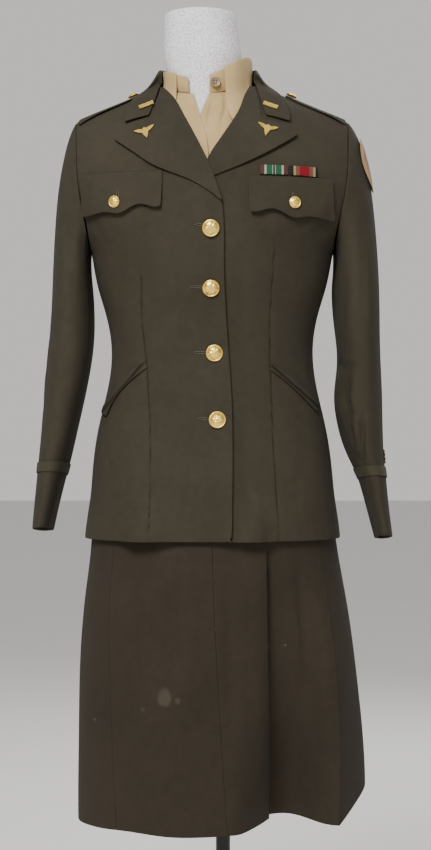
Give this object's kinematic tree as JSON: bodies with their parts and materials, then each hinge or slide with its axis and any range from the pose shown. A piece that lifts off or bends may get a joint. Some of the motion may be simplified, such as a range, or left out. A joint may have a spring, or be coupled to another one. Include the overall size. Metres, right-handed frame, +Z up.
{
  "type": "military uniform on dress form",
  "caption": "Women's service uniform of wool jacket, flared skirt and shirt, worn by a limbless dress form on a round stand.",
  "frame": {"origin": "under the middle of the stand's round base, on the floor", "axes": "+Z up along the pole, -Y to the front of the garment, +X to the wearer's left"},
  "size_m": [0.5, 0.36, 1.497],
  "materials": {
    "olive_wool": "napped wool cloth of the jacket",
    "olive_wool_skirt": "napped wool cloth of the skirt, a little darker",
    "khaki_shirting": "plain-woven cotton shirting",
    "gilt_brass": "gilt, satin to bright",
    "gilt_thread": "gold-coloured embroidery on wool",
    "shirt_button_horn": "polished",
    "olive_braid": "woven braid",
    "patch_felt": "embroidered felt",
    "green_ribbon": "ribbed silk ribbon",
    "red_ribbon": "ribbed silk ribbon",
    "grey_felt": "jersey-covered form",
    "brushed_steel": "brushed",
    "black_enamel": "black enamel"
  },
  "bodies": {
    "root": {"stand_base": "brushed_steel", "stand_pole": "black_enamel", "dress_form": "grey_felt", "shirt_front_right": "khaki_shirting", "shirt_front_left": "khaki_shirting", "shirt_back": "khaki_shirting", "shirt_band": "khaki_shirting", "shirt_collar": "khaki_shirting", "shirt_button": "shirt_button_horn", "jacket_front_right": "olive_wool", "jacket_front_left": "olive_wool", "jacket_back_left": "olive_wool", "jacket_back_right": "olive_wool", "lapel_right": "olive_wool", "lapel_left": "olive_wool", "jacket_collar": "olive_wool", "sleeve_right_upper": "olive_wool", "sleeve_right_under": "olive_wool", "sleeve_left_upper": "olive_wool", "sleeve_left_under": "olive_wool", "shoulder_loop_right": "olive_wool", "shoulder_loop_left": "olive_wool", "pocket_flap_right": "olive_wool", "pocket_flap_left": "olive_wool", "pocket_welt_right": "olive_wool", "pocket_welt_left": "olive_wool", "front_button_1": "gilt_brass", "front_button_2": "gilt_brass", "front_button_3": "gilt_brass", "front_button_4": "gilt_brass", "flap_button_right": "gilt_brass", "flap_button_left": "gilt_brass", "loop_button_right": "gilt_brass", "loop_button_left": "gilt_brass", "cuff_braid_right": "olive_braid", "cuff_braid_left": "olive_braid", "shoulder_patch": "patch_felt", "service_bars": "gilt_thread", "ribbon_bar_1": "green_ribbon", "ribbon_bar_2": "red_ribbon", "collar_bar_right": "gilt_brass", "collar_bar_left": "gilt_brass", "lapel_sprig_right": "gilt_brass", "lapel_sprig_left": "gilt_brass", "skirt_front_left": "olive_wool_skirt", "skirt_side_left": "olive_wool_skirt", "skirt_back_left": "olive_wool_skirt", "skirt_back_right": "olive_wool_skirt", "skirt_side_right": "olive_wool_skirt", "skirt_front_right": "olive_wool_skirt", "skirt_waistband": "olive_wool_skirt"}
  },
  "joints": []
}
